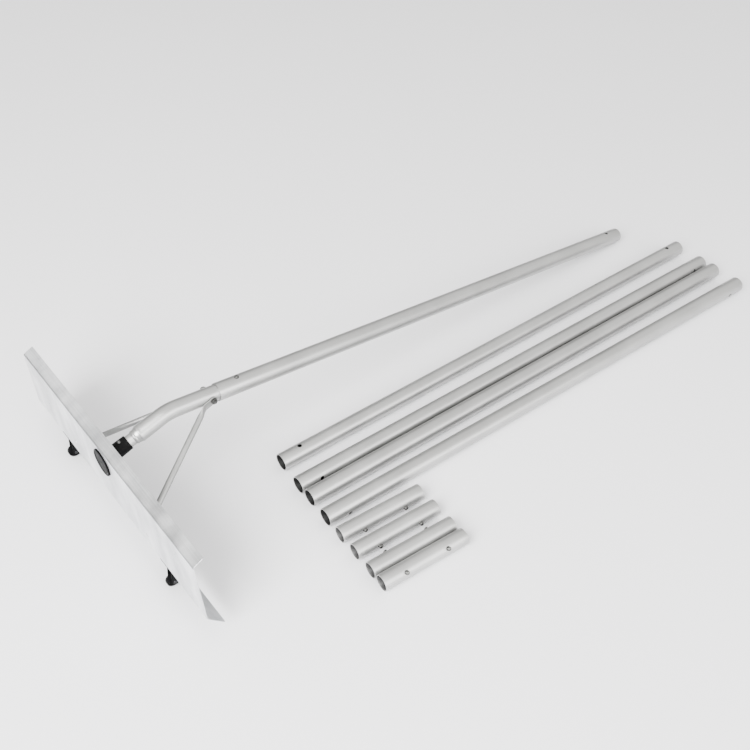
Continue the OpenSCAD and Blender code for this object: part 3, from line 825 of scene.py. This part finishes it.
def make_brace_bolt():
    """The bolt across the neck and both braces, its head on the left, and its washer and nut."""
    outside = INNER_R + TAB_GAP + TAB_T + SEAT
    tip = -outside - 7
    side_on = turn("Z", 90)
    head = moved(nut_mesh(NUT_W, NUT_T), mm_shift(0, outside, 0) @ side_on)
    bar = [(tip, 0), (tip, BRACE_BOLT_R), (outside, BRACE_BOLT_R), (outside, 0)]
    shank = lathe(rounded(bar, 0.5, 2, closed=False), 32, closed=False)
    piece("brace_bolt_shank", joined(head, moved(shank, side_on)), ON_POLE @ shift(BRACE_BOLT),
          "zinc_steel", "rake", ["brace_bolt"])

    washer = lathe(rounded([(0, 3.1), (0, 6.4), (1, 6.4), (1, 3.1)], 0.25, 2), 48)
    nut = joined(washer, moved(nut_mesh(NUT_W, NUT_T), mm_shift(1, 0, 0)))
    piece("brace_nut_hex", nut, ON_POLE @ shift(BRACE_BOLT, -outside) @ turn("Z", -90), "zinc_steel",
          "rake", ["brace_nut"])


def make_foot_bolts():
    """A domed head on the blade's face and a nut behind the brace, at each foot."""
    heads, nuts = [], []
    back = SHEET + FOOT_GAP + TAB_T + SEAT
    shaft = [(back + 5.5, 0), (back + 5.5, FOOT_BOLT_R - 0.3), (back + 5.2, FOOT_BOLT_R),
             (0, FOOT_BOLT_R), (0, FOOT_HEAD_R)]
    profile = [*shaft, *dome(0, -1.2, FOOT_HEAD_R, 8)[1:], (-1.2, 0)]
    for side in (1, -1):
        heads.append(moved(lathe(profile, 40, closed=False), mm_shift(0, side * FOOT_Y, FOOT_Z)))
        nuts.append(moved(nut_mesh(FOOT_NUT_W, NUT_T), mm_shift(back, side * FOOT_Y, FOOT_Z)))
    piece("foot_bolt_heads", joined(*heads), KIT, "rivet_alloy", "rake", ["foot_bolts"])
    piece("foot_nut_hexes", joined(*nuts), KIT, "zinc_steel", "rake", ["foot_nuts"])


def make_screws():
    """The hub's three screws, and the one that holds the neck in the socket."""
    seat = SHEET + SOCKET_FLANGE_T + SEAT
    screws = [moved(pan_screw(-1.4, seat, HUB_SCREW_HEAD),
                    turn("X", 120 * k + 60) @ mm_shift(0, 0, HUB_SCREW_RING)) for k in range(3)]
    piece("hub_screw_heads", joined(*screws), KIT @ shift(0, 0, HUB_Z), "zinc_steel", "rake",
          ["hub_screws"])

    screw = pan_screw(SWAGE_R - 1.6, NECK_SCREW_SEAT, NECK_SCREW_HEAD)
    piece("neck_screw_head", moved(screw, turn("Y", -90)), ON_SOCKET @ shift(NECK_SCREW),
          "zinc_steel", "rake", ["neck_screw"])


# ---- Hub ----

def make_hub():
    """Dished front cap with a raised rim, and the socket with its flange, barrel and groove."""
    cap = [(-0.05, 0), (-0.05, 13), (2.5, 13), (2.5, SPIGOT_R), (-0.05, SPIGOT_R), (-0.05, CAP_R),
           (-1.6, CAP_R), (-2.5, CAP_R - 0.5), (-3, CAP_R - 1.6), (-3, CAP_R - 4.2),
           (-2.2, CAP_R - 5.6), (-2.2, 4), (-2.4, 2.5), (-2.5, 0)]
    piece("hub_cap_disc", lathe(rounded(cap, 0.6, 3, closed=False), 96, closed=False),
          KIT @ shift(0, 0, HUB_Z), "black_plastic", "rake", ["hub_cap"])

    front, back = SHEET + 0.01, SHEET + SOCKET_FLANGE_T
    flange = [(front, SPIGOT_SEAT_R), (front, SOCKET_FLANGE_R), (back - 1, SOCKET_FLANGE_R),
              (back, SOCKET_FLANGE_R - 1), (back, 15.6), (SHEET + 1, 13.5)]
    piece("hub_socket_flange", lathe(rounded(flange, 0.5, 3), 96), KIT @ shift(0, 0, HUB_Z),
          "black_plastic", "rake")

    mouth = SOCKET_LEN
    barrel = [(8.5, SOCKET_BORE_R), (8.5, 15.1), (12, 15.15), (mouth - 6, 14.15),
              (mouth - 5.4, 13.9), (mouth - 4.6, 13.9), (mouth - 4, 14.1), (mouth, 14.0),
              (mouth, SOCKET_BORE_R)]
    body = lathe(rounded(barrel, 0.6, 3), 96)
    body = bored(body, (mm_shift(NECK_SCREW, 0, 14), SCREW_R + 0.1, 5))
    piece("hub_socket_barrel", body, ON_SOCKET, "black_plastic", "rake", ["hub_socket"])


# ---- Rollers ----

def make_roller(side):
    """A roller with a crowned tread and recessed sides, and its axle with a head at each end."""
    name = "roller_left" if side > 0 else "roller_right"
    half, r, bore = ROLLER_HALF, ROLLER_R, AXLE_R + 0.06
    profile = [(-half, bore), (-half, 5.0), (-half + 0.8, 5.6), (-half + 0.8, r - 3.4),
               (-half, r - 2.6), (-half, r - 1.3), (-half + 0.9, r - 0.35), (-2.2, r), (2.2, r),
               (half - 0.9, r - 0.35), (half, r - 1.3), (half, r - 2.6), (half - 0.8, r - 3.4),
               (half - 0.8, 5.6), (half, 5.0), (half, bore)]
    axis = KIT @ shift(AXLE_X, side * ROLLER_Y, ROLLER_R) @ turn("Z", 90)
    piece(f"{name}_tread", lathe(rounded(profile, 0.4, 3), 80), axis, "roller_plastic", name, [name])

    reach = ROLLER_HALF + ROLLER_GAP + CHEEK_T + SEAT
    pin = [(-reach - 1.2, 0), (-reach - 1.2, 2.6), (-reach - 0.9, 3.3), (-reach, 4), (-reach, AXLE_R),
           (reach, AXLE_R), (reach, 4), (reach + 0.9, 3.3), (reach + 1.2, 2.6), (reach + 1.2, 0)]
    piece(f"{name}_axle_pin", lathe(rounded(pin, 0.25, 2, closed=False), 48, closed=False), axis,
          "black_zinc", "rake", [name.replace("roller", "axle")])


def rounded_plate(x0, x1, width, radius, thickness):
    """A plate in the X-Y plane, top at z = 0, with round corners."""
    corners = [(x1, width / 2), (x0, width / 2), (x0, -width / 2), (x1, -width / 2)]
    outline = []
    for i, (x, y) in enumerate(corners):
        cx, cy = x + (-radius if x == x1 else radius), y + (-radius if y > 0 else radius)
        for k in range(9):
            a = math.radians(90 * (i + k / 8))
            outline.append((cx + radius * math.cos(a), cy + radius * math.sin(a)))
    bm = bmesh.new()
    top = [bm.verts.new((x, y, -0.05)) for x, y in outline]
    low = [bm.verts.new((x, y, -thickness)) for x, y in outline]
    bm.faces.new(top)
    bm.faces.new(list(reversed(low)))
    for i in range(len(top)):
        j = (i + 1) % len(top)
        bm.faces.new((top[i], low[i], low[j], top[j]))
    return bm


def make_bracket(side):
    """Base plate and two cheeks with rounded edges."""
    name = "roller_bracket_left" if side > 0 else "roller_bracket_right"
    a = math.radians(LIP_ANGLE)
    drop = BOTTOM_FOLD[1] - ROLLER_R
    along = AXLE_X * math.cos(a) + drop * math.sin(a)
    out = AXLE_X * math.sin(a) - drop * math.cos(a)
    root = -0.5 - PLATE_T / 2
    arc = [math.radians(-150 + 10 * k) for k in range(19)]
    eye = [(along + CHEEK_R * math.cos(t), out + CHEEK_R * math.sin(t)) for t in arc]
    cheek = [(11, root), (11, root - 3), *eye, (34.5, root)]
    cheek_y = ROLLER_HALF + ROLLER_GAP + CHEEK_T / 2
    cheeks = [moved(prism(cheek, CHEEK_T), mm_shift(0, end * cheek_y, 0)) for end in (1, -1)]
    plate = rounded_plate(PLATE_FROM, PLATE_TO, PLATE_W, PLATE_CORNER_R, PLATE_T)
    fork = moved(joined(plate, *cheeks), in_kit(on_lip(side)))
    piece(f"{name}_fork", fork, KIT, "black_plastic", "rake", [name], sharp=40, bevel=0.5)


def make_rivets():
    """Four rivets through the lip and the brackets, with a dome inside and a set end outside."""
    top, low = SHEET + SEAT, -PLATE_T - SEAT
    profile = [(low - 1.2, 0), (low - 1.2, 2.3), (low - 0.9, 2.9), (low, 3.2), (low, RIVET_R),
               (top, RIVET_R), *dome(top, 1.4, 3.8, 7), (top + 1.4, 0)]
    rivets = []
    for side in (1, -1):
        for end in (1, -1):
            rivet = moved(lathe(profile, 36, closed=False), turn("Y", -90))
            rivets.append(moved(rivet, in_kit(on_lip(side) @ shift(RIVET_ALONG, end * RIVET_Y))))
    piece("bracket_rivet_heads", joined(*rivets), KIT, "rivet_alloy", "rake", ["bracket_rivets"])


# ---- Build ----

make_blade()
make_hub()
make_neck()
make_brace_bolt()
make_foot_bolts()
make_screws()
make_rivets()
for side in (1, -1):
    make_brace(side)
    make_roller(side)
    make_bracket(side)

neck_button_at = ON_POLE @ shift(SEAM + BUTTON_INSET)
make_button("neck_button", neck_button_at, "neck_button")
make_clip("neck_clip_leaf", neck_button_at, "rake", ["neck_clip"])
make_pole("pole_1", ON_POLE @ shift(SEAM), "rake")
for name, spot in POLES.items():
    make_pole(name, on_floor(spot, POLE_R), name, spot[3])
for name, spot in COUPLERS.items():
    where, facing = on_floor(spot, INNER_R), spot[3]
    make_coupler(name, where, facing)
    near = where @ shift(BUTTON_INSET) @ turn("Z", 180)
    far = where @ shift(COUPLER_LEN - BUTTON_INSET)
    make_button(f"{name}_button_near", near, f"{name}_button_near", -facing)
    make_button(f"{name}_button_far", far, f"{name}_button_far", facing)
    make_clip(f"{name}_clip_near", near, name, facing=-facing)
    make_clip(f"{name}_clip_far", far, name, [f"{name}_clips"], facing)


# ---- Floor, light and camera ----

def make_floor():
    """A plain pale floor, 24 m wide, with a very faint cloudiness."""
    mesh = bpy.data.meshes.new("floor")
    half = 12
    mesh.from_pydata([(-half, -half, 0), (half, -half, 0), (half, half, 0), (-half, half, 0)], [],
                     [(0, 1, 2, 3)])
    floor = bpy.data.objects.new("floor", mesh)
    bpy.context.scene.collection.objects.link(floor)
    mat, shader = new_material("paper", 0.0, (0.8, 0.8, 0.81), 0.75)
    mat.node_tree.links.new(
        blend_colours(mat, spread(mat, noise(mat, 0.7, 2), 0, 1), (0.86, 0.86, 0.875),
                      (0.88, 0.88, 0.895)), shader.inputs["Base Color"])
    mesh.materials.append(mat)


def soft_light(name, place_at, look_at, size, power):
    """A rectangular panel, in metres and watts, that faces a point."""
    data = bpy.data.lights.new(name, "AREA")
    data.shape = "RECTANGLE"
    data.size, data.size_y = size
    data.energy = power
    light = bpy.data.objects.new(name, data)
    bpy.context.scene.collection.objects.link(light)
    light.location = place_at
    light.rotation_euler = (Vector(look_at) - Vector(place_at)).to_track_quat("-Z", "Y").to_euler()


def make_world():
    """Soft light from all round, strongest overhead and towards -Y, weakest low and towards +Y."""
    sky = bpy.data.worlds.new("studio")
    sky.use_nodes = True
    nodes, links = sky.node_tree.nodes, sky.node_tree.links
    back = nodes["Background"]
    back.inputs["Color"].default_value = (1, 0.992, 0.975, 1)
    coords, lean = nodes.new("ShaderNodeTexCoord"), nodes.new("ShaderNodeVectorMath")
    lean.operation = "DOT_PRODUCT"
    lean.inputs[1].default_value = (0.15, -0.38, 0.87)
    fade = nodes.new("ShaderNodeMapRange")
    fade.interpolation_type = "SMOOTHSTEP"
    fade.inputs["From Min"].default_value = -0.1
    fade.inputs["From Max"].default_value = 0.6
    fade.inputs["To Min"].default_value = 0.35
    fade.inputs["To Max"].default_value = 1.4
    links.new(coords.outputs["Generated"], lean.inputs[0])
    links.new(lean.outputs["Value"], fade.inputs["Value"])
    links.new(fade.outputs["Result"], back.inputs["Strength"])
    return sky


def make_camera():
    data = bpy.data.cameras.new("camera")
    data.sensor_width = 36
    data.lens = 42.2
    camera = bpy.data.objects.new("camera", data)
    bpy.context.scene.collection.objects.link(camera)
    camera.matrix_world = (KIT @ shift(-277.2, -1093.8, 1312.9)
                           @ turn("Z", -39.262) @ turn("X", 90 - 42.992))
    bpy.context.scene.camera = camera


make_floor()
soft_light("key", (-2.8, -1.1, 2.25), (-0.2, 0, 0), (2.2, 2.2), 190)
soft_light("back", (-1.9, 3.0, 1.9), (-0.6, 0.2, 0.1), (1.1, 1.1), 6.5)
soft_light("right", (0.1, -3.1, 1.3), (0.1, 0, 0.1), (3.2, 1.9), 66)
bpy.context.scene.world = make_world()
bpy.context.scene.view_settings.view_transform = "Filmic"
make_camera()
